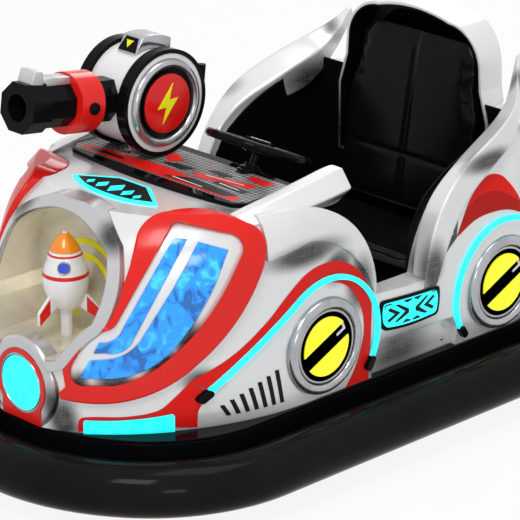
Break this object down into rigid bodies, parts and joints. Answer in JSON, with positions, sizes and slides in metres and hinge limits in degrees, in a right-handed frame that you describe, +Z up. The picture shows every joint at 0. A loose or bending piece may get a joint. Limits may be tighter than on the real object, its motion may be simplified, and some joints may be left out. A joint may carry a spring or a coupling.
{
  "type": "battery bumper car",
  "caption": "Two-seat battery bumper car: rubber ring bumper, moulded body with round side lamps, bench seat, steered drive wheel and swivelling toy cannon.",
  "frame": {"origin": "on the floor under the middle of the car, at the centre of its bounding box", "axes": "+X forward, +Y to the car's left, +Z up"},
  "size_m": [1.9206, 1.2246, 1.134],
  "materials": {
    "silver": "brushed metallic film over moulding",
    "white": "gloss",
    "red": "gloss",
    "black": "high gloss",
    "rubber": "polished rubber",
    "tyre": "matt",
    "steel": "powder coat",
    "bright": "bright",
    "cyan": "lit acrylic",
    "yellow": "gloss",
    "blue": "gloss clear cover",
    "gold": "satin",
    "seat": "glossy vinyl",
    "hub": "cast"
  },
  "bodies": {
    "car": {"apron_lamps": "cyan", "arms": "silver", "battery_block": "steel", "bumper_ring": "rubber", "chassis_frame": "steel", "cockpit_liner": "black", "display_board": "black", "drive_mount": "steel", "emblem_panel": "cyan", "floor_pan": "black", "front_body": "silver", "gun_mount": "black", "hood_liner": "black", "hub_faces": "black", "hub_rims": "bright", "hub_segments": "yellow", "light_strips": "cyan", "nose_arch": "silver", "nose_bowl": "gold", "nose_lamp_housing": "silver", "nose_lamp_lens": "cyan", "nose_lamp_ring": "red", "pedal": "black", "plinth": "black", "pod_faces": "silver", "pod_lenses": "blue", "pod_rims": "red", "rear_axle": "bright", "ribbons": "silver", "rocket_ornament": "white", "seat_back": "seat", "seat_base": "black", "seat_cushion": "seat", "seat_hood": "white", "steering_column": "black", "strip_caps": "black", "tail_body": "silver"},
    "drive_unit": {"drive_fork": "steel", "drive_motor": "steel"},
    "drive_wheel": {"drive_tyre": "tyre", "drive_hub": "hub"},
    "rear_wheel_left": {"rear_tyre_left": "tyre", "rear_hub_left": "hub"},
    "rear_wheel_right": {"rear_tyre_right": "tyre", "rear_hub_right": "hub"},
    "steering_wheel": {"steering_wheel": "black"},
    "cannon": {"gun_barrel": "black", "gun_discs": "red", "gun_drum": "white", "gun_grips": "black", "gun_post": "bright", "gun_rims": "black", "gun_sight": "silver", "gun_sleeve": "red"}
  },
  "joints": [
    {"name": "drive_steer", "type": "hinge", "parent": "car", "child": "drive_unit", "pos_m": [0.47, 0, 0.225], "axis": [0, 0, 1], "range_deg": [-60, 60]},
    {"name": "drive_wheel_spin", "type": "hinge", "parent": "drive_unit", "child": "drive_wheel", "pos_m": [0.47, 0, 0.095], "axis": [0, 1, 0], "continuous": true},
    {"name": "rear_left_spin", "type": "hinge", "parent": "car", "child": "rear_wheel_left", "pos_m": [-0.56, 0.3, 0.08], "axis": [0, 1, 0], "continuous": true},
    {"name": "rear_right_spin", "type": "hinge", "parent": "car", "child": "rear_wheel_right", "pos_m": [-0.56, -0.3, 0.08], "axis": [0, 1, 0], "continuous": true},
    {"name": "steering_wheel_turn", "type": "hinge", "parent": "car", "child": "steering_wheel", "pos_m": [0.083, 0.155, 0.854], "axis": [-0.4226, 0, 0.9063], "range_deg": [-181, 181]},
    {"name": "cannon_swivel", "type": "hinge", "parent": "car", "child": "cannon", "pos_m": [0.225, -0.19, 0.785], "axis": [0, 0, 1], "range_deg": [-40, 40]}
  ],
  "couplings": [
    {"joint": "steering_wheel_turn", "follows": "drive_steer", "ratio": 3}
  ]
}
